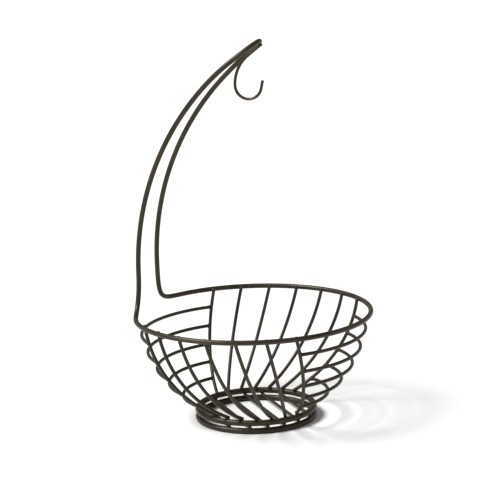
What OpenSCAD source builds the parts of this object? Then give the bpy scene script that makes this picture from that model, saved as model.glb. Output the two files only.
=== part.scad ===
// Wire fruit basket with a tall hanger, welded from bent steel wire and coated.
// One closed wire makes the rim, the two arms and the round top of the hanger.
// Slanted ribs hang inside the rim at the front and back, and level wires close
// the two sides. A floor of straight wires lies between two base rings.
// Origin: middle of the foot, on the table. +Z is up, and the hanger stands at -X.

/* [Rim and foot] */
// Outside diameter of the rim
rim_d = 240; // [210:1:280]
// Height of the top of the rim above the table
rim_h = 110.1; // [95:0.1:130]
// Outside diameter of the foot ring
foot_d = 122.5; // [100:0.5:140]
// Depth of the flat worn under the foot ring, where it rests
foot_flat = 0.25; // [0.1:0.05:0.5]

/* [Wires] */
// Thickness of the rim and hanger wire
frame_wire_d = 5; // [4:0.25:6.5]
// Thickness of the two base rings
ring_wire_d = 6; // [4:0.25:7]
// Thickness of the ribs and side wires
bowl_wire_d = 3.5; // [2.5:0.25:4.5]
// Thickness of the floor wires
floor_wire_d = 3; // [2.5:0.25:4.5]
// Thickness of the hook wire
hook_wire_d = 3; // [2.5:0.25:4]
// Depth to which one wire is melted into the next at a weld
weld_sink = 0.2; // [0.1:0.05:0.3]
// Depth by which the floor wires sink into the base rings at their welds
floor_sink = 0.5; // [0.1:0.1:0.8]

/* [Ribs] */
// Angle from one rib to the next, round the rim
rib_angle = 15; // [13:0.5:16]
// Direction in which the middle front rib starts at the rim
rib_mid_angle = -97.3; // [-115:0.1:-80]
// Slant of each rib out of the upright
rib_slant = 13.5; // [6:0.5:18]
// Depth of the rib ends below the top of the rim
rib_drop = 1; // [0:0.1:2]
// Length of each rib past the upper base ring
rib_tail_length = 1.5; // [0.5:0.1:3]

/* [Side wires] */
// Distance from the rim down to the first side wire, along the ribs
side_top_gap = 17.8; // [12:0.1:24]
// Distance from the last side wire down to the upper base ring, along the ribs
side_low_gap = 19.3; // [12:0.1:24]
// Distance by which the middle of a side wire bows out past the ribs
side_bow = 0.8; // [0:0.1:2]

/* [Floor wires] */
// Distance between the middles of the floor wires
floor_step = 17; // [12:0.5:18]
// Direction in which the floor wires run
floor_turn = -53; // [-90:1:0]
// Distance of the cut ends from the outside of the rings
floor_inset = 0.8; // [0.3:0.1:2]

/* [Hanger] */
// Distance between the middles of the two arms
arm_gap = 54; // [30:1:60]
// Distance of the upright part of the arms from the basket's axis
arm_back = 109.6; // [100:0.1:115]
// Width of the opening that the arms leave in the rim
rim_opening = 135.5; // [100:0.5:160]
// Height above the rim's middle at which the arms start to bend forward
arm_rise = 43; // [30:0.1:70]
// Radius of the long bend of the arms
arm_bend_r = 268; // [200:1:300]
// Angle of the long bend of the arms
arm_bend = 52.2; // [45:0.1:65]
// Length of the straight end of the hanger, from the bend to the tip
tip_straight = 27; // [15:1:40]
// Length of the rounded top, over which the arms come together
top_length = 54; // [27:1:80]
// Reach of the soft bend where it leaves the rim
rim_sweep = 30.5; // [15:0.5:40]
// Reach of the soft bend where it enters the arm
arm_sweep = 43.5; // [30:0.5:60]

/* [Hook] */
// Length of the hook's straight shank under the top of the hanger
hook_shank = 17.5; // [12:0.5:30]
// Radius of the bend behind the hook
hook_back_r = 37; // [18:1:42]
// Radius of the hook's bowl
hook_r = 13.5; // [10:0.5:18]
// Angle of the hook's bowl
hook_turn = 168; // [140:2:180]
// Length of the hook's straight end
hook_end = 8; // [4:0.5:14]

/* [Hidden] */
rib_count = 7;
side_count = 5;
floor_count = 6;
wire_colour = "#4f4840";

// Middle lines of the rim and the base rings
rim_r = (rim_d - frame_wire_d) / 2;
rim_z = rim_h - frame_wire_d / 2;
ring_r = (foot_d - ring_wire_d) / 2;
foot_z = ring_wire_d / 2 - foot_flat;
ring_to_floor = (ring_wire_d + floor_wire_d) / 2 - floor_sink;
floor_z = foot_z + ring_to_floor;
upper_z = floor_z + ring_to_floor;

// The ribs lie on a sphere round the basket's axis that touches the rim and
// the upper base ring from inside. Its radius solves a quadratic equation.
to_rim = (frame_wire_d + bowl_wire_d) / 2 - weld_sink;
to_ring = (ring_wire_d + bowl_wire_d) / 2 - weld_sink;
drop = rim_z - upper_z;
lean = (to_rim - to_ring) / drop;
level = (pow(rim_r, 2) - pow(ring_r, 2) + pow(rim_z, 2) - pow(upper_z, 2)
    - pow(to_rim, 2) + pow(to_ring, 2)) / (2 * drop);
half_b = (level - rim_z) * lean + to_rim;
part_c = pow(rim_r, 2) + pow(level - rim_z, 2) - pow(to_rim, 2);
bowl_r = (sqrt(pow(half_b, 2) + (1 - pow(lean, 2)) * part_c) - half_b) / (1 - pow(lean, 2));
bowl_z = level - lean * bowl_r;

// Where the rim and the upper base ring touch the ribs, as angles below the
// bowl's widest line
rim_lat = atan2(bowl_z - rim_z, rim_r);
ring_lat = atan2(bowl_z - upper_z, ring_r);

// Where a rib starts and ends, as angles along its circle
rib_top_z = rim_h - rib_drop;
rib_start = asin((bowl_z - rib_top_z) / bowl_r / cos(rib_slant));
tail_lat = ring_lat + rib_tail_length / bowl_r * 180 / PI;
rib_stop = asin(sin(tail_lat) / cos(rib_slant));

// How far a rib has turned round the axis at a given angle below its widest line
function rib_drift(lat) = let (u = asin(sin(lat) / cos(rib_slant)))
    atan2(sin(u) * sin(rib_slant), cos(u));
function rib_direction(i) = rib_mid_angle + (i - (rib_count + 1) / 2) * rib_angle;

// Angle of a side wire below the bowl's widest line: the wires share the room
// that is left between the first and the last
side_step = (bowl_r * (ring_lat - rim_lat) * PI / 180 - side_top_gap - side_low_gap) / (side_count - 1);
function side_lat(i) = rim_lat + (side_top_gap + (i - 1) * side_step) / bowl_r * 180 / PI;

// Places of the hanger
gap_angle = asin(rim_opening / 2 / rim_r);
arm_z = rim_z + arm_rise;
arm_dir = [sin(arm_bend), 0, cos(arm_bend)];
arm_end = [-arm_back + arm_bend_r * (1 - cos(arm_bend)), 0, arm_z + arm_bend_r * sin(arm_bend)];
tip = arm_end + arm_dir * tip_straight;
bend_length = arm_bend_r * arm_bend * PI / 180;
top_start = bend_length + tip_straight - top_length;

// Numbers of steps and sides of the swept wires
rim_steps = 48;
sweep_steps = 14;
arm_steps = 24;
tip_steps = 12;
frame_sides = 12;
hook_steps = 12;
hook_sides = 12;
round_fn = 48;

function unit(v) = v / norm(v);
function bezier(a, b, c, d, t) =
    pow(1 - t, 3) * a + 3 * pow(1 - t, 2) * t * b + 3 * (1 - t) * t * t * c + pow(t, 3) * d;
function swing(v, t) = unit(v - (v * t) * t);

// Half of the closed wire, from the front of the rim round to the top of the
// hanger. Its other half is the mirror image across the XZ plane.
rim_end = rim_r * [-cos(gap_angle), sin(gap_angle), 0] + [0, 0, rim_z];
rim_end_dir = [-sin(gap_angle), -cos(gap_angle), 0];
arm_foot = [-arm_back, arm_gap / 2, arm_z];

// Place at a given length up the hanger, in the plane between the arms
function hanger_place(s) = let (a = min(s / bend_length, 1) * arm_bend)
    [-arm_back, 0, arm_z] + arm_bend_r * [1 - cos(a), 0, sin(a)] + max(s - bend_length, 0) * arm_dir;
function half_wire() = concat(
    [for (i = [0:rim_steps - 1]) let (a = i / rim_steps * (180 - gap_angle))
        [rim_r * cos(a), rim_r * sin(a), rim_z]],
    [for (i = [0:sweep_steps - 1]) bezier(rim_end, rim_end + rim_sweep * rim_end_dir,
        arm_foot - arm_sweep * [0, 0, 1], arm_foot, i / sweep_steps)],
    [for (i = [0:arm_steps - 1]) hanger_place(i / arm_steps * top_start) + [0, arm_gap / 2, 0]],
    [for (i = [0:tip_steps]) let (a = i / tip_steps * 90)
        hanger_place(top_start + top_length * sin(a)) + [0, arm_gap / 2 * cos(a), 0]]
);
function flip_y(p) = [p[0], -p[1], p[2]];

// Directions along a line of points: open lines use their end steps, and a
// mirrored half line starts and ends square to the mirror plane
function line_dirs(p, square) = let (n = len(p) - 1) [for (i = [0:n])
    i == 0 ? (square ? [0, 1, 0] : unit(p[1] - p[0])) :
    i == n ? (square ? [0, -1, 0] : unit(p[n] - p[n - 1])) :
    unit(unit(p[i + 1] - p[i]) + unit(p[i] - p[i - 1]))];

// Sideways directions carried along the line without twist
function line_sides(t, first) =
    [for (i = 0, v = swing(first, t[0]); i < len(t); i = i + 1, v = i < len(t) ? swing(v, t[i]) : v) v];

// One ring of points round each point of the line
function rings(p, t, s, r, sides) = [for (i = [0:len(p) - 1]) let (b = cross(t[i], s[i]))
    [for (k = [0:sides - 1]) let (a = k * 360 / sides) p[i] + r * (cos(a) * s[i] + sin(a) * b)]];

function ring_faces(count, sides, closed) = [for (j = [0:count - (closed ? 1 : 2)], k = [0:sides - 1])
    let (a = j * sides + k, b = j * sides + (k + 1) % sides,
        c = (j + 1) % count * sides + (k + 1) % sides, d = (j + 1) % count * sides + k)
    each [[a, c, b], [a, d, c]]];

// A wire that closes on itself, from its mirrored half
module closed_wire(p, d, sides) {
    t = line_dirs(p, true);
    s = line_sides(t, [1, 0, 0]);
    half = rings(p, t, s, d / 2, sides);
    n = len(half);
    all = concat(half, [for (i = [n - 2:-1:1]) [for (q = half[i]) flip_y(q)]]);
    polyhedron([for (ring = all) each ring], ring_faces(len(all), sides, true), 4);
}

// A wire with two cut ends
module open_wire(p, d, sides) {
    t = line_dirs(p, false);
    s = line_sides(t, [0, 1, 0]);
    all = rings(p, t, s, d / 2, sides);
    n = len(all);
    polyhedron([for (ring = all) each ring], concat(
        ring_faces(n, sides, false),
        [for (k = [1:sides - 2]) [0, k, k + 1]],
        [for (k = [1:sides - 2]) (n - 1) * sides * [1, 1, 1] + [0, k + 1, k]]
    ), 4);
}

// The long closed wire: rim, two arms and the round top between them
module rim_and_hanger() {
    color(wire_colour) closed_wire(half_wire(), frame_wire_d, frame_sides);
}

// The hook, welded under the round top, in the plane between the arms
hook_start = tip - ((frame_wire_d + hook_wire_d) / 2 - weld_sink) * [-cos(arm_bend), 0, sin(arm_bend)];
hook_bend = hook_start - hook_shank * arm_dir;
hook_back = hook_bend + hook_back_r * [cos(arm_bend), 0, -sin(arm_bend)];
hook_left = hook_back - [hook_back_r, 0, 0];
hook_mid = hook_left + [hook_r, 0, 0];
function hook_line() = concat(
    [hook_start + hook_wire_d / 4 * arm_dir, hook_bend + hook_wire_d * arm_dir],
    [for (i = [0:hook_steps - 1]) let (a = 180 - arm_bend + i / hook_steps * arm_bend)
        hook_back + hook_back_r * [cos(a), 0, sin(a)]],
    [for (i = [0:2 * hook_steps]) let (a = 180 + i / (2 * hook_steps) * hook_turn)
        hook_mid + hook_r * [cos(a), 0, sin(a)]],
    [hook_mid + hook_r * [cos(180 + hook_turn), 0, sin(180 + hook_turn)]
        + hook_end * [-sin(180 + hook_turn), 0, cos(180 + hook_turn)]]
);
module banana_hook() {
    color(wire_colour) open_wire(hook_line(), hook_wire_d, hook_sides);
}

// A flat ring of round wire
module wire_ring(r, z, d) {
    translate([0, 0, z]) rotate_extrude($fn = 3 * round_fn)
        translate([r, 0]) circle(d = d, $fn = round_fn);
}

module upper_base_ring() {
    color(wire_colour) wire_ring(ring_r, upper_z, ring_wire_d);
}

// The foot ring, with the narrow flat on which the basket rests
module foot_ring() {
    color(wire_colour) rotate_extrude($fn = 3 * round_fn) difference() {
        translate([ring_r, foot_z]) circle(d = ring_wire_d, $fn = round_fn);
        translate([ring_r - ring_wire_d, -ring_wire_d]) square([2 * ring_wire_d, ring_wire_d]);
    }
}

// One rib: an arc on the bowl's sphere, in a plane through its middle that
// leans out of the upright
module rib(direction) {
    color(wire_colour) translate([0, 0, bowl_z]) rotate([0, 0, direction]) rotate([rib_slant - 90, 0, 0])
        rotate_extrude(start = rib_start, angle = rib_stop - rib_start, $fn = 3 * round_fn)
            translate([bowl_r, 0]) circle(d = bowl_wire_d, $fn = round_fn);
}

module front_rib(i) {
    rib(rib_direction(i));
}

// The back ribs are the front ribs turned half a turn round the axis
module back_rib(i) {
    rib(rib_direction(rib_count + 1 - i) + 180);
}

// One level side wire, from the last rib of one face to the first of the other.
// It is bent a little tighter than the bowl, so its middle bows out.
module side_wire(i, turn) {
    lat = side_lat(i);
    level_r = bowl_r * cos(lat);
    half_span = 90 - (rib_count - 1) * rib_angle / 2;
    half_chord = level_r * sin(half_span);
    rise = level_r * (1 - cos(half_span)) + side_bow;
    bend_r = (pow(half_chord, 2) + pow(rise, 2)) / (2 * rise);
    reach = asin(half_chord / bend_r);
    color(wire_colour) translate([0, 0, bowl_z - bowl_r * sin(lat)])
        rotate([0, 0, rib_direction(rib_count) + rib_drift(lat) + half_span + turn])
            translate([level_r + side_bow - bend_r, 0, 0])
                rotate_extrude(start = -reach, angle = 2 * reach, $fn = 3 * round_fn)
                    translate([bend_r, 0]) circle(d = bowl_wire_d, $fn = round_fn);
}

module right_side_wire(i) {
    side_wire(i, 0);
}

module left_side_wire(i) {
    side_wire(i, 180);
}

// One straight floor wire, cut off just inside the outside of the rings
module floor_wire(i) {
    off = (i - (floor_count + 1) / 2) * floor_step;
    half = sqrt(pow(foot_d / 2 - floor_inset, 2) - pow(abs(off) + floor_wire_d / 2, 2));
    color(wire_colour) rotate([0, 0, floor_turn]) translate([-half, off, floor_z])
        rotate([0, 90, 0]) cylinder(h = 2 * half, d = floor_wire_d, $fn = round_fn);
}

rim_and_hanger();
banana_hook();
upper_base_ring();
foot_ring();
for (i = [1:rib_count]) {
    front_rib(i);
    back_rib(i);
}
for (i = [1:side_count]) {
    right_side_wire(i);
    left_side_wire(i);
}
for (i = [1:floor_count]) {
    floor_wire(i);
}
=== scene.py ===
import math

import bpy
from mathutils import Matrix, Vector


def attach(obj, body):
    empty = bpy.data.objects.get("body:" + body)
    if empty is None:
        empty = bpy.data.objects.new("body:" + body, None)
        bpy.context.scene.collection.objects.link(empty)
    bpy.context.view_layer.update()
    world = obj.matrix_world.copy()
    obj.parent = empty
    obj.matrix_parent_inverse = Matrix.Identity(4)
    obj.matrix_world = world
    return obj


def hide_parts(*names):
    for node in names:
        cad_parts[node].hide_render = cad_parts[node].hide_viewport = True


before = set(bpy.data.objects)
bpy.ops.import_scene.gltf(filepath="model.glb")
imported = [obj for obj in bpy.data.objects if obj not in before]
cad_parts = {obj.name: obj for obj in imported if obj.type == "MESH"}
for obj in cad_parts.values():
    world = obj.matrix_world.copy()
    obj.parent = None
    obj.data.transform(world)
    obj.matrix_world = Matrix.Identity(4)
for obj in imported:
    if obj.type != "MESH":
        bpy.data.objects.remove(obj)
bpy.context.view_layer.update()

# Rim and hanger
# One 5 mm mild steel wire, bent on a former and butt welded into a closed
# loop: it runs round the rim, leaves it at the left in two soft bends, and
# rises as two arms that curve forward and join in a round top.
MM = 0.001
frame_wire = 5.0 * MM
rim_outside = 120.0 * MM
rim_radius = rim_outside - frame_wire / 2
rim_opening = 135.5 * MM
rim_top = 110.1 * MM
rim_height = rim_top - frame_wire / 2
arm_gap = 54.0 * MM
arm_back = 109.6 * MM
arm_rise = 43.0 * MM
arm_bend_radius = 268.0 * MM
arm_bend = math.radians(52.2)
tip_straight = 27.0 * MM
top_length = 54.0 * MM
rim_sweep = 30.5 * MM
arm_sweep = 43.5 * MM
gap_angle = math.asin(rim_opening / 2 / rim_radius)
arm_direction = Vector((math.sin(arm_bend), 0, math.cos(arm_bend)))
arm_end = Vector((
    -arm_back + arm_bend_radius * (1 - math.cos(arm_bend)), 0,
    rim_height + arm_rise + arm_bend_radius * math.sin(arm_bend)))
hanger_tip = arm_end + arm_direction * tip_straight
bend_length = arm_bend_radius * arm_bend
top_start = bend_length + tip_straight - top_length


def paint(colour):
    """An sRGB hex colour as the linear colour that a shader takes."""
    parts = [int(colour[i:i + 2], 16) / 255 for i in (1, 3, 5)]
    return [p / 12.92 if p <= 0.04045 else ((p + 0.055) / 1.055) ** 2.4 for p in parts] + [1.0]


def add(tree, kind, inputs=None, **settings):
    """Adds a node, sets its properties, and fills or links its inputs."""
    node = tree.nodes.new(kind)
    for name, value in settings.items():
        setattr(node, name, value)
    for name, value in (inputs or {}).items():
        if isinstance(value, bpy.types.NodeSocket):
            tree.links.new(value, node.inputs[name])
        else:
            node.inputs[name].default_value = value
    return node


def bronze_powder_coat():
    """Dark bronze powder coat, baked on steel: satin, softly clouded and finely bumpy."""
    material = bpy.data.materials.new("bronze_powder_coat")
    material.use_nodes = True
    tree = material.node_tree
    tree.nodes.clear()
    place = add(tree, "ShaderNodeTexCoord").outputs["Object"]
    # Clouds where the coat lies thicker and darker
    cloud_size = 30.0 * MM
    clouds = add(tree, "ShaderNodeTexNoise", {
        "Vector": place, "Scale": 1 / cloud_size, "Detail": 3.0, "Roughness": 0.55})
    shade = add(tree, "ShaderNodeValToRGB", {"Fac": clouds.outputs["Fac"]})
    shade.color_ramp.elements[0].position = 0.36
    shade.color_ramp.elements[0].color = paint("#282113")
    shade.color_ramp.elements[1].position = 0.66
    shade.color_ramp.elements[1].color = paint("#39301d")
    # Bronze flakes in the coat. The real ones are finer, and are drawn coarser so that they show
    flake_gap = 0.6 * MM
    flakes = add(tree, "ShaderNodeTexVoronoi", {"Vector": place, "Scale": 1 / flake_gap, "Randomness": 1.0})
    glint = add(tree, "ShaderNodeMapRange", {
        "Value": flakes.outputs["Distance"],
        "From Min": 0.0, "From Max": 0.3, "To Min": 0.5, "To Max": 0.0})
    flaked = add(tree, "ShaderNodeMix", {
        "Factor": glint.outputs["Result"],
        "A": shade.outputs["Color"], "B": paint("#564829")}, data_type="RGBA")
    # The bowl of the hook is rubbed smooth and a little brighter by what hangs in it
    hook_bowl = (3.2 * MM, 0.0, 323.9 * MM)
    rub_inner = 3.0 * MM
    rub_outer = 11.0 * MM
    off = add(tree, "ShaderNodeVectorMath", {0: place, 1: hook_bowl}, operation="DISTANCE")
    rubbed = add(tree, "ShaderNodeMapRange", {
        "Value": off.outputs["Value"],
        "From Min": rub_inner, "From Max": rub_outer, "To Min": 0.8, "To Max": 0.0})
    colour = add(tree, "ShaderNodeMix", {
        "Factor": rubbed.outputs["Result"],
        "A": flaked.outputs["Result"], "B": paint("#54483a")}, data_type="RGBA")
    # Orange peel from the baking, drawn a little coarser than it is so that it shows
    peel_size = 1.5 * MM
    peel_depth = 0.2 * MM
    peel = add(tree, "ShaderNodeTexNoise", {
        "Vector": place, "Scale": 1 / peel_size, "Detail": 2.0, "Roughness": 0.5})
    bump = add(tree, "ShaderNodeBump", {
        "Strength": 0.3, "Distance": peel_depth, "Height": peel.outputs["Fac"]})
    skin = add(tree, "ShaderNodeMapRange", {
        "Value": clouds.outputs["Fac"], "From Min": 0.3, "From Max": 0.7, "To Min": 0.36, "To Max": 0.48})
    sheen = add(tree, "ShaderNodeMath", {
        0: rubbed.outputs["Result"], 1: -0.18, 2: skin.outputs["Result"]}, operation="MULTIPLY_ADD")
    coat = add(tree, "ShaderNodeBsdfPrincipled", {
        "Base Color": colour.outputs["Result"], "Roughness": sheen.outputs["Value"],
        "Metallic": 0.35, "Normal": bump.outputs["Normal"]})
    add(tree, "ShaderNodeOutputMaterial", {"Surface": coat.outputs["BSDF"]})
    return material


coat = bronze_powder_coat()


def hanger_place(length):
    """Place at a given length up the hanger, in the plane between the arms."""
    angle = min(length / bend_length, 1) * arm_bend
    bend_start = Vector((-arm_back, 0, rim_height + arm_rise))
    bent = bend_start + arm_bend_radius * Vector((1 - math.cos(angle), 0, math.sin(angle)))
    return bent + max(length - bend_length, 0) * arm_direction


def half_of_closed_wire():
    """Middle line from the front of the rim round to the top of the hanger."""
    rim_steps, sweep_steps, arm_steps, tip_steps = 120, 32, 60, 40
    line = []
    for i in range(rim_steps):
        angle = i / rim_steps * (math.pi - gap_angle)
        line.append(Vector((rim_radius * math.cos(angle), rim_radius * math.sin(angle), rim_height)))
    start = Vector((-rim_radius * math.cos(gap_angle), rim_radius * math.sin(gap_angle), rim_height))
    leave = start + rim_sweep * Vector((-math.sin(gap_angle), -math.cos(gap_angle), 0))
    foot = Vector((-arm_back, arm_gap / 2, rim_height + arm_rise))
    enter = foot - Vector((0, 0, arm_sweep))
    for i in range(sweep_steps):
        t = i / sweep_steps
        near = (1 - t) ** 3 * start + 3 * (1 - t) ** 2 * t * leave
        line.append(near + 3 * (1 - t) * t * t * enter + t ** 3 * foot)
    for i in range(arm_steps):
        line.append(hanger_place(i / arm_steps * top_start) + Vector((0, arm_gap / 2, 0)))
    for i in range(tip_steps + 1):
        angle = i / tip_steps * math.pi / 2
        apart = Vector((0, arm_gap / 2 * math.cos(angle), 0))
        line.append(hanger_place(top_start + top_length * math.sin(angle)) + apart)
    return line


def wire_tree(sides):
    """Geometry nodes that sweep a round wire along each line of the mesh."""
    tree = bpy.data.node_groups.new("drawn_wire", "GeometryNodeTree")
    tree.interface.new_socket("Geometry", in_out="INPUT", socket_type="NodeSocketGeometry")
    tree.interface.new_socket("Thickness", in_out="INPUT", socket_type="NodeSocketFloat")
    tree.interface.new_socket("Material", in_out="INPUT", socket_type="NodeSocketMaterial")
    tree.interface.new_socket("Geometry", in_out="OUTPUT", socket_type="NodeSocketGeometry")
    given = add(tree, "NodeGroupInput").outputs
    line = add(tree, "GeometryNodeMeshToCurve", {"Mesh": given["Geometry"]})
    fit = add(tree, "GeometryNodeInputNamedAttribute", {"Name": "fit"}, data_type="FLOAT")
    width = add(tree, "ShaderNodeMath", {
        0: given["Thickness"], 1: fit.outputs["Attribute"]}, operation="MULTIPLY")
    ring = add(tree, "GeometryNodeCurvePrimitiveCircle", {"Resolution": sides, "Radius": 0.5})
    tube = add(tree, "GeometryNodeCurveToMesh", {
        "Curve": line.outputs["Curve"], "Profile Curve": ring.outputs["Curve"],
        "Scale": width.outputs["Value"], "Fill Caps": True})
    smooth = add(tree, "GeometryNodeSetShadeSmooth", {
        "Geometry": tube.outputs["Mesh"], "Shade Smooth": True})
    whole = add(tree, "GeometryNodeRealizeInstances", {"Geometry": smooth.outputs["Geometry"]})
    dressed = add(tree, "GeometryNodeSetMaterial", {
        "Geometry": whole.outputs["Geometry"], "Material": given["Material"]})
    add(tree, "NodeGroupOutput", {"Geometry": dressed.outputs["Geometry"]})
    return tree


wire_sides = 32
wire_nodes = wire_tree(wire_sides)


def baked(source, tree, name, **values):
    """Runs a node tree on an object and keeps the result as a plain mesh object."""
    step = source.modifiers.new("make", "NODES")
    step.node_group = tree
    for item in tree.interface.items_tree:
        if item.in_out == "INPUT" and item.name in values:
            step[item.identifier] = values[item.name]
    source.update_tag()
    view = bpy.context.evaluated_depsgraph_get()
    mesh = bpy.data.meshes.new_from_object(source.evaluated_get(view), depsgraph=view)
    source.modifiers.remove(step)
    bpy.data.objects.remove(source)
    mesh.name = name
    piece = bpy.data.objects.new(name, mesh)
    bpy.context.collection.objects.link(piece)
    return piece


def drawn_wire(name, line, thickness, closed=False):
    """One coated wire along a middle line. Its cut ends are rounded by the coat."""
    mesh = bpy.data.meshes.new(name + "_line")
    count = len(line)
    edges = [(i, i + 1) for i in range(count - 1)] + ([(count - 1, 0)] if closed else [])
    mesh.from_pydata(line, edges, [])
    fit = mesh.attributes.new("fit", "FLOAT", "POINT")
    fit.data.foreach_set("value", [1.0] * count if closed else end_fit(line, thickness))
    source = bpy.data.objects.new(name + "_line", mesh)
    bpy.context.collection.objects.link(source)
    return baked(source, wire_nodes, name, Thickness=thickness, Material=coat)


# Share of the thickness that is left as a flat at a cut end, and the share of
# the thickness over which the coat rounds the edge
flat_share = 0.45
round_share = 1 / 3


def end_fit(line, thickness):
    """Share of the full thickness at each point of a wire with rounded ends."""
    along = [0.0]
    for a, b in zip(line, line[1:]):
        along.append(along[-1] + (b - a).length)
    reach = thickness * round_share
    shares = []
    for s in along:
        left = min(s, along[-1] - s, reach) / reach
        shares.append(flat_share + (1 - flat_share) * math.sqrt(max(0.0, 1 - (1 - left) ** 2)))
    return shares


def keep(piece, *nodes):
    """The finished piece rides on the basket's one body and stands for its CAD nodes."""
    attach(piece, "root")
    if nodes:
        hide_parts(*nodes)


half = half_of_closed_wire()
mirrored = [Vector((p.x, -p.y, p.z)) for p in half[-2:0:-1]]
keep(drawn_wire("rim_and_hanger_wire", half + mirrored, frame_wire, closed=True), "rim_and_hanger")

# Base rings
# Two rings of 6 mm wire, butt welded. The lower one is the foot, with
# a narrow flat where it rests, and the upper one carries the ends of the ribs.
ring_wire = 6.0 * MM
floor_wire = 3.0 * MM
weld_sink = 0.2 * MM
floor_sink = 0.5 * MM
foot_flat = 0.25 * MM
ring_outside = 61.25 * MM
ring_radius = ring_outside - ring_wire / 2
foot_height = ring_wire / 2 - foot_flat
floor_height = foot_height + (ring_wire + floor_wire) / 2 - floor_sink
upper_height = floor_height + (ring_wire + floor_wire) / 2 - floor_sink


def level_ring(height, steps=180):
    """Middle line of a level ring round the basket's axis."""
    turns = [i / steps * 2 * math.pi for i in range(steps)]
    return [Vector((ring_radius * math.cos(a), ring_radius * math.sin(a), height)) for a in turns]


keep(drawn_wire("upper_base_ring_wire", level_ring(upper_height), ring_wire, closed=True), "upper_base_ring")
foot = drawn_wire("foot_ring_wire", level_ring(foot_height), ring_wire, closed=True)
for corner in foot.data.vertices:
    corner.co.z = max(corner.co.z, 0.0)
keep(foot, "foot_ring")

# Ribs
# Fourteen 3.5 mm wires, all bent to one radius and cut to one length. Seven
# hang at the front and seven at the back, each slanted in its own flat plane.
# They are welded inside the rim, just below its top, and inside the upper ring.
bowl_wire = 3.5 * MM
rib_angle = math.radians(15)
rib_mid_angle = math.radians(-97.3)
rib_slant = math.radians(13.5)
rib_drop = 1.0 * MM
rib_tail_length = 1.5 * MM
rib_count = 7

# The middle lines of the ribs lie on one sphere, the bowl. Its radius solves a
# quadratic equation, so that the ribs touch the rim and the upper ring from inside
to_rim = (frame_wire + bowl_wire) / 2 - weld_sink
to_ring = (ring_wire + bowl_wire) / 2 - weld_sink
drop = rim_height - upper_height
lean = (to_rim - to_ring) / drop
level = (rim_radius ** 2 - ring_radius ** 2 + rim_height ** 2 - upper_height ** 2
         - to_rim ** 2 + to_ring ** 2) / (2 * drop)
half_b = (level - rim_height) * lean + to_rim
part_c = rim_radius ** 2 + (level - rim_height) ** 2 - to_rim ** 2
bowl_radius = (math.sqrt(half_b ** 2 + (1 - lean ** 2) * part_c) - half_b) / (1 - lean ** 2)
bowl_height = level - lean * bowl_radius


def rib_point(direction, u):
    """Point on a rib's middle line, u along its circle from the bowl's widest line."""
    x = math.cos(u)
    y = math.sin(u) * math.sin(rib_slant)
    z = -math.sin(u) * math.cos(rib_slant)
    c, s = math.cos(direction), math.sin(direction)
    return Vector((0, 0, bowl_height)) + bowl_radius * Vector((x * c - y * s, x * s + y * c, z))


rib_start = math.asin((bowl_height - rim_top + rib_drop) / bowl_radius / math.cos(rib_slant))
ring_latitude = math.atan2(bowl_height - upper_height, ring_radius)
rib_stop = math.asin(math.sin(ring_latitude + rib_tail_length / bowl_radius) / math.cos(rib_slant))


def rib_direction(i):
    """Direction in which a front rib leaves the rim."""
    return rib_mid_angle + (i - (rib_count + 1) / 2) * rib_angle


# Places of the closer steps in a rounded end, as shares of its length
close_shares = [0.0, 0.04, 0.1, 0.2, 0.35, 0.6, 1.0]


def fine_steps(start, stop, length, count=60):
    """Even steps along a wire, with closer ones at its rounded ends."""
    reach = bowl_wire * round_share / length
    first = [reach * c for c in close_shares]
    middle = [i / count for i in range(1, count)]
    last = [1 - r for r in first[::-1]]
    return [start + (stop - start) * s for s in sorted(set(first + middle + last))]


def rib_line(direction):
    """Middle line of one rib, from its end at the rim to its end at the upper ring."""
    steps = fine_steps(rib_start, rib_stop, bowl_radius * (rib_stop - rib_start))
    return [rib_point(direction, u) for u in steps]


for i in range(1, rib_count + 1):
    keep(drawn_wire(f"front_rib_wire_{i}", rib_line(rib_direction(i)), bowl_wire), f"front_rib_{i}")
    back = rib_direction(rib_count + 1 - i) + math.pi
    keep(drawn_wire(f"back_rib_wire_{i}", rib_line(back), bowl_wire), f"back_rib_{i}")

# Side wires
# Five level 3.5 mm wires on each side, bent a little rounder than the bowl at
# their height and welded end-on to the last rib at the front and at the back.
side_top_gap = 17.8 * MM
side_low_gap = 19.3 * MM
side_bow = 0.8 * MM
side_count = 5
rim_latitude = math.atan2(bowl_height - rim_height, rim_radius)
side_step = (bowl_radius * (ring_latitude - rim_latitude) - side_top_gap - side_low_gap) / (side_count - 1)


def rib_drift(latitude):
    """How far a rib has turned round the axis at an angle below its widest line."""
    u = math.asin(math.sin(latitude) / math.cos(rib_slant))
    return math.atan2(math.sin(u) * math.sin(rib_slant), math.cos(u))


def side_line(i, turn):
    """Middle line of a side wire, the first one highest, from one rib to the other."""
    latitude = rim_latitude + (side_top_gap + (i - 1) * side_step) / bowl_radius
    level_radius = bowl_radius * math.cos(latitude)
    half_span = math.pi / 2 - (rib_count - 1) * rib_angle / 2
    half_chord = level_radius * math.sin(half_span)
    rise = level_radius * (1 - math.cos(half_span)) + side_bow
    radius = (half_chord ** 2 + rise ** 2) / (2 * rise)
    reach = math.asin(half_chord / radius)
    middle = rib_direction(rib_count) + rib_drift(latitude) + half_span + turn
    out = Vector((math.cos(middle), math.sin(middle), 0))
    along = Vector((-math.sin(middle), math.cos(middle), 0))
    height = bowl_height - bowl_radius * math.sin(latitude)
    centre = out * (level_radius + side_bow - radius) + Vector((0, 0, height))
    return [centre + radius * (math.cos(a) * out + math.sin(a) * along)
            for a in fine_steps(-reach, reach, 2 * radius * reach)]


for i in range(1, side_count + 1):
    keep(drawn_wire(f"right_side_wire_{i}_wire", side_line(i, 0), bowl_wire), f"right_side_wire_{i}")
    keep(drawn_wire(f"left_side_wire_{i}_wire", side_line(i, math.pi), bowl_wire), f"left_side_wire_{i}")

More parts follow.
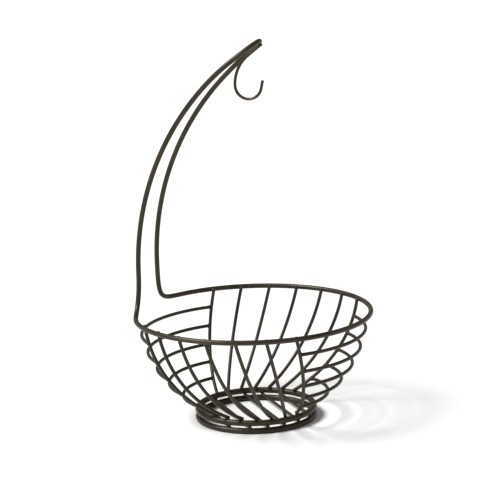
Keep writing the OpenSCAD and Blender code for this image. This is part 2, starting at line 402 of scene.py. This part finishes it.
# Floor wires
# Six straight 3 mm wires between the two base rings, cut off just inside the
# outside of the rings, so that their ends show between the two.
floor_step = 17.0 * MM
floor_turn = math.radians(-53)
floor_inset = 0.8 * MM
floor_count = 6
floor_steps = 24
floor_along = Vector((math.cos(floor_turn), math.sin(floor_turn), 0))
floor_across = Vector((-math.sin(floor_turn), math.cos(floor_turn), 0))


def floor_line(i):
    """Middle line of a floor wire, from outside to outside of the rings."""
    off = (i - (floor_count + 1) / 2) * floor_step
    reach = math.sqrt((ring_outside - floor_inset) ** 2 - (abs(off) + floor_wire / 2) ** 2)
    middle = off * floor_across + Vector((0, 0, floor_height))
    return [middle + floor_along * s for s in fine_steps(-reach, reach, 2 * reach, floor_steps)]


for i in range(1, floor_count + 1):
    keep(drawn_wire(f"floor_wire_{i}_wire", floor_line(i), floor_wire), f"floor_wire_{i}")

# Hook
# One 3 mm wire in the plane between the arms: a straight shank welded under
# the round top of the hanger, a soft bend backwards and down, and a round bowl
# that opens forward.
hook_wire = 3.0 * MM
hook_shank = 17.5 * MM
hook_back_radius = 37.0 * MM
hook_radius = 13.5 * MM
hook_turn = math.radians(168)
hook_end = 8.0 * MM
square = Vector((-math.cos(arm_bend), 0, math.sin(arm_bend)))
hook_start = hanger_tip - ((frame_wire + hook_wire) / 2 - weld_sink) * square
hook_bend = hook_start - hook_shank * arm_direction
hook_back = hook_bend - hook_back_radius * square
hook_middle = hook_back + Vector((hook_radius - hook_back_radius, 0, 0))


def hook_line():
    """Middle line of the hook. Only its two cut ends have the closer steps."""
    shank_steps, back_steps, bowl_steps, end_steps = 12, 24, 48, 8
    close_count = len(close_shares)
    top = hook_start + hook_wire / 4 * arm_direction
    shank = fine_steps(0, 1, hook_shank, shank_steps)[:-close_count]
    line = [top + (hook_bend - top) * s for s in shank]
    for i in range(back_steps):
        angle = math.pi - arm_bend + i / back_steps * arm_bend
        line.append(hook_back + hook_back_radius * Vector((math.cos(angle), 0, math.sin(angle))))
    for i in range(bowl_steps):
        angle = math.pi + i / bowl_steps * hook_turn
        line.append(hook_middle + hook_radius * Vector((math.cos(angle), 0, math.sin(angle))))
    last = math.pi + hook_turn
    corner = hook_middle + hook_radius * Vector((math.cos(last), 0, math.sin(last)))
    ahead = Vector((-math.sin(last), 0, math.cos(last)))
    return line + [corner + ahead * s for s in fine_steps(0, hook_end, hook_end, end_steps)[close_count:]]


keep(drawn_wire("banana_hook_wire", hook_line(), hook_wire), "banana_hook")

# Welds
# The wires are resistance welded where they cross and butt: a little metal is
# squeezed out there, and the coat fills the corner round it with a soft bead.

# Half sizes of the beads in millimetres, the last one from wire to wire
rim_bead = (2.3, 1.5, 1.2)
ring_bead = (2.4, 1.7, 1.2)
side_wire_bead = (2.4, 1.95, 1.7)
floor_wire_bead = (1.6, 2.1, 1.1)
hook_bead = (2.5, 2.0, 1.3)
butt_rise = 0.2
butt_half_width = 1.7
bead_unevenness = 0.9 * MM
# Direction of the butt welds from the basket's axis, in radians
seam_angle = 1.05


def bead_tree():
    """Geometry nodes that set one uneven bead on each point of a mesh."""
    tree = bpy.data.node_groups.new("weld_beads", "GeometryNodeTree")
    tree.interface.new_socket("Geometry", in_out="INPUT", socket_type="NodeSocketGeometry")
    tree.interface.new_socket("Unevenness", in_out="INPUT", socket_type="NodeSocketFloat")
    tree.interface.new_socket("Seed", in_out="INPUT", socket_type="NodeSocketFloat")
    tree.interface.new_socket("Material", in_out="INPUT", socket_type="NodeSocketMaterial")
    tree.interface.new_socket("Geometry", in_out="OUTPUT", socket_type="NodeSocketGeometry")
    given = add(tree, "NodeGroupInput").outputs
    named = {name: add(tree, "GeometryNodeInputNamedAttribute", {"Name": name}, data_type="FLOAT_VECTOR")
             for name in ("along", "across", "reach")}
    turned = add(tree, "FunctionNodeAxesToRotation", {
        "Primary Axis": named["across"].outputs["Attribute"],
        "Secondary Axis": named["along"].outputs["Attribute"]}, primary_axis="Z", secondary_axis="X")
    ball = add(tree, "GeometryNodeMeshIcoSphere", {"Radius": 1.0, "Subdivisions": 3})
    beads = add(tree, "GeometryNodeInstanceOnPoints", {
        "Points": given["Geometry"], "Instance": ball.outputs["Mesh"],
        "Rotation": turned.outputs["Rotation"], "Scale": named["reach"].outputs["Attribute"]})
    whole = add(tree, "GeometryNodeRealizeInstances", {"Geometry": beads.outputs["Instances"]})
    lump_size = 1.25 * MM
    grain = add(tree, "ShaderNodeTexNoise", {
        "W": given["Seed"], "Scale": 1 / lump_size, "Detail": 1.0}, noise_dimensions="4D")
    level = add(tree, "ShaderNodeMath", {0: grain.outputs["Fac"], 1: 0.6}, operation="SUBTRACT")
    swell = add(tree, "ShaderNodeMath", {
        0: level.outputs["Value"], 1: given["Unevenness"]}, operation="MULTIPLY")
    normal = add(tree, "GeometryNodeInputNormal")
    push = add(tree, "ShaderNodeVectorMath", {
        0: normal.outputs["Normal"], "Scale": swell.outputs["Value"]}, operation="SCALE")
    uneven = add(tree, "GeometryNodeSetPosition", {
        "Geometry": whole.outputs["Geometry"], "Offset": push.outputs["Vector"]})
    smooth = add(tree, "GeometryNodeSetShadeSmooth", {
        "Geometry": uneven.outputs["Geometry"], "Shade Smooth": True})
    dressed = add(tree, "GeometryNodeSetMaterial", {
        "Geometry": smooth.outputs["Geometry"], "Material": given["Material"]})
    add(tree, "NodeGroupOutput", {"Geometry": dressed.outputs["Geometry"]})
    return tree


bead_nodes = bead_tree()


def bead(a, b, share, along, reach):
    """A bead between middle lines at a and b: place, two of its axes, and its three half sizes."""
    across = (b - a).normalized()
    first = (along - along.dot(across) * across).normalized()
    return a + (b - a) * share, first, across, Vector(reach) * MM


def welds(name, beads, seed):
    """One piece with all the beads of a kind. None reaches below the table."""
    mesh = bpy.data.meshes.new(name + "_points")
    mesh.from_pydata([b[0] for b in beads], [], [])
    for key, column in (("along", 1), ("across", 2), ("reach", 3)):
        values = mesh.attributes.new(key, "FLOAT_VECTOR", "POINT")
        values.data.foreach_set("vector", [v for b in beads for v in b[column]])
    source = bpy.data.objects.new(name + "_points", mesh)
    bpy.context.collection.objects.link(source)
    piece = baked(source, bead_nodes, name, Unevenness=bead_unevenness, Seed=float(seed), Material=coat)
    for corner in piece.data.vertices:
        corner.co.z = max(corner.co.z, 0.0)
    keep(piece)


def rib_at(direction, latitude):
    """Point of a rib's middle line at an angle below the bowl's widest line."""
    return rib_point(direction, math.asin(math.sin(latitude) / math.cos(rib_slant)))


def rib_bead(direction, latitude, radius, height, thickness, reach):
    """Bead where a rib touches the rim or the upper ring."""
    touch = rib_at(direction, latitude)
    out = Vector((touch.x, touch.y, 0)).normalized()
    ring_point = out * radius + Vector((0, 0, height))
    around = Vector((-out.y, out.x, 0))
    return bead(ring_point, touch, thickness / (thickness + bowl_wire), around, reach)


def side_bead(i, turn, end):
    """Bead round the end of a side wire, where it butts against the rib."""
    line = side_line(i, turn)[::end]
    past_rounding = len(close_shares) + 2
    inward = (line[past_rounding] - line[0]).normalized()
    place = line[0] + inward * bowl_wire / 2
    return bead(place, place + inward, 0.0, Vector((0, 0, 1)), side_wire_bead)


def floor_beads(i):
    """Beads of a floor wire: one on the foot ring and one under the upper ring, at each end."""
    off = (i - (floor_count + 1) / 2) * floor_step
    reach = math.sqrt(ring_radius ** 2 - off ** 2)
    for side in (-1, 1):
        cross = off * floor_across + side * reach * floor_along
        wire_point = cross + Vector((0, 0, floor_height))
        for height in (foot_height, upper_height):
            yield bead(cross + Vector((0, 0, height)), wire_point, ring_wire / (ring_wire + floor_wire),
                       floor_along, floor_wire_bead)


def butt_bead(place, along, thickness):
    """Low ring of metal left round a butt weld after it is ground back."""
    half_size = thickness / 2 / MM + butt_rise
    return bead(place, place + along, 0.0, Vector((0, 0, 1)), (half_size, half_size, butt_half_width))


directions = [rib_direction(i) + turn for turn in (0, math.pi) for i in range(1, rib_count + 1)]
welds("rim_rib_welds", [rib_bead(d, rim_latitude, rim_radius, rim_height, frame_wire, rim_bead)
                        for d in directions], 1)
welds("ring_rib_welds", [rib_bead(d, ring_latitude, ring_radius, upper_height, ring_wire, ring_bead)
                         for d in directions], 2)
welds("side_wire_welds", [side_bead(i, turn, end) for i in range(1, side_count + 1)
                          for turn in (0, math.pi) for end in (-1, 1)], 3)
welds("floor_wire_welds", [b for i in range(1, floor_count + 1) for b in floor_beads(i)], 4)
before_tip = hook_wire / 3 * arm_direction
welds("hook_weld", [bead(hanger_tip - before_tip, hook_start - before_tip,
                         frame_wire / (frame_wire + hook_wire), Vector((0, 1, 0)), hook_bead)], 5)
seam = Vector((math.cos(seam_angle), math.sin(seam_angle), 0))
seam_along = Vector((-seam.y, seam.x, 0))
welds("butt_welds", [butt_bead(seam * radius + Vector((0, 0, height)), seam_along, thickness)
                     for radius, height, thickness in ((rim_radius, rim_height, frame_wire),
                                                       (ring_radius, upper_height, ring_wire),
                                                       (ring_radius, foot_height, ring_wire))], 6)

# Floor
# A flat sheet of matt white paper, large enough to fill the view. It takes the
# soft shadow and isn't part of the basket.
paper = bpy.data.materials.new("matt_white_paper")
paper.use_nodes = True
paper.node_tree.nodes["Principled BSDF"].inputs["Base Color"].default_value = paint("#f4f4f2")
paper.node_tree.nodes["Principled BSDF"].inputs["Roughness"].default_value = 0.95
half_side = 15.0
corners = [(x * half_side, y * half_side, 0) for x, y in ((-1, -1), (1, -1), (1, 1), (-1, 1))]
sheet = bpy.data.meshes.new("floor")
sheet.from_pydata(corners, [], [(0, 1, 2, 3)])
sheet.materials.append(paper)
floor = bpy.data.objects.new("floor", sheet)
bpy.context.collection.objects.link(floor)

# Camera
# The photograph is taken with a long lens that looks down by about twelve
# degrees, with the camera turned clockwise by about two degrees.
camera_turn = math.radians(18)
camera_rise = math.radians(11.876)
camera_roll = math.radians(-2.036)
camera_distance = 2.0
aim_right = -10.32 * MM
aim_height = 182.2 * MM
focal_pixels = 2020.58
picture_pixels = 480
behind = Vector((math.sin(camera_turn) * math.cos(camera_rise),
                 -math.cos(camera_turn) * math.cos(camera_rise), math.sin(camera_rise)))
right = Vector((math.cos(camera_turn), math.sin(camera_turn), 0))
aim = right * aim_right + Vector((0, 0, aim_height))
up = behind.cross(right)
tilted_right = right * math.cos(camera_roll) + up * math.sin(camera_roll)
tilted_up = up * math.cos(camera_roll) - right * math.sin(camera_roll)
camera_data = bpy.data.cameras.new("camera")
camera = bpy.data.objects.new("camera", camera_data)
bpy.context.collection.objects.link(camera)
camera_data.sensor_width = 36.0
camera_data.lens = camera_data.sensor_width * focal_pixels / picture_pixels
camera_data.clip_end = 50.0
place = Matrix((tilted_right, tilted_up, behind)).transposed().to_4x4()
place.translation = aim + behind * camera_distance
camera.matrix_world = place
bpy.context.scene.camera = camera

# Light
# One large soft light high on the left, and an even white room. The plain view
# transform keeps the paper white, as on a catalogue page.
bpy.context.scene.view_settings.view_transform = "Standard"
sun = bpy.data.lights.new("soft_key", "SUN")
sun.energy = 3.9
sun.angle = math.radians(26)
lamp = bpy.data.objects.new("soft_key", sun)
bpy.context.collection.objects.link(lamp)
turn, rise = math.radians(-60), math.radians(52)
towards = Vector((math.sin(turn) * math.cos(rise), -math.cos(turn) * math.cos(rise), math.sin(rise)))
lamp.rotation_euler = towards.to_track_quat("Z", "Y").to_euler()
world = bpy.data.worlds.new("white_room")
world.use_nodes = True
world.node_tree.nodes["Background"].inputs["Color"].default_value = paint("#ffffff")
world.node_tree.nodes["Background"].inputs["Strength"].default_value = 0.33
bpy.context.scene.world = world
